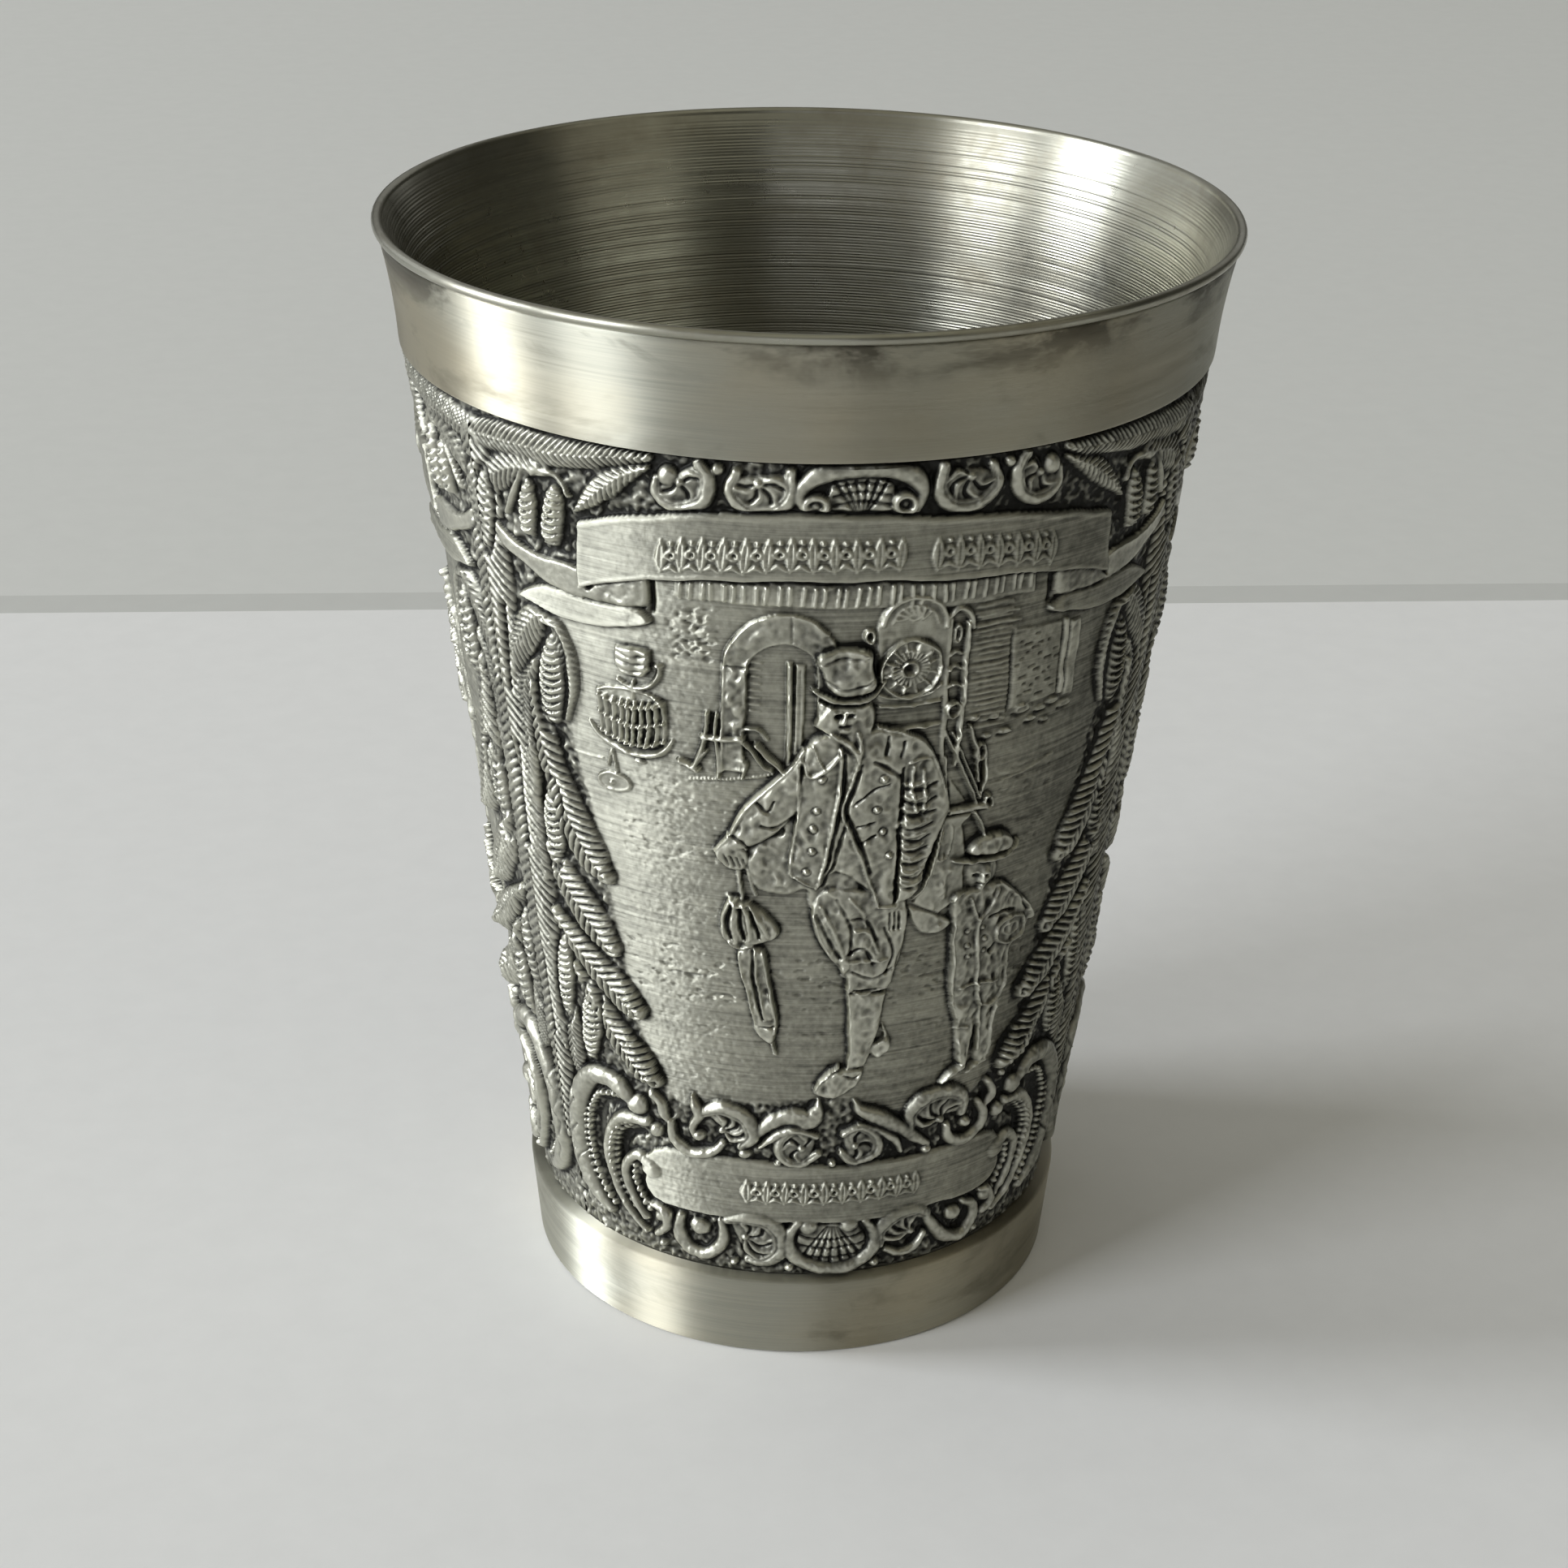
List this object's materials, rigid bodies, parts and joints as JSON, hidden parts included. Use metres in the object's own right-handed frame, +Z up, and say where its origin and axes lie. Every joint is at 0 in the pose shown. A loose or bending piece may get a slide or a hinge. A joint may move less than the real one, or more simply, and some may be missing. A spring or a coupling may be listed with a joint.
{
  "type": "pewter drinking beaker",
  "caption": "Small tapered pewter drinking beaker with a plain flared rim and a cast relief jacket of folk scenes between plain turned bands.",
  "frame": {"origin": "centre of the circle that the foot stands on, in the plane of the table", "axes": "+Z up along the beaker's axis towards the rim; -Y towards the middle of the front relief panel; +X to the right of that panel"},
  "size_m": [0.055, 0.055, 0.075],
  "materials": {
    "pewter_turned": "fine turning grooves, dulled and darkened by age",
    "pewter_brushed": "turned and brushed, with darker stains",
    "pewter_relief": "cast, dark patina in the hollows and rubbed bright on the high spots",
    "solder": "dull and dark"
  },
  "bodies": {
    "root": {"inner_liner": "pewter_turned", "rim_band": "pewter_brushed", "relief_jacket": "pewter_relief", "foot_band": "pewter_brushed", "base_disc": "pewter_brushed", "base_solder_fillet": "solder", "foot_solder_seam": "solder", "rim_solder_seam": "solder"}
  },
  "joints": []
}
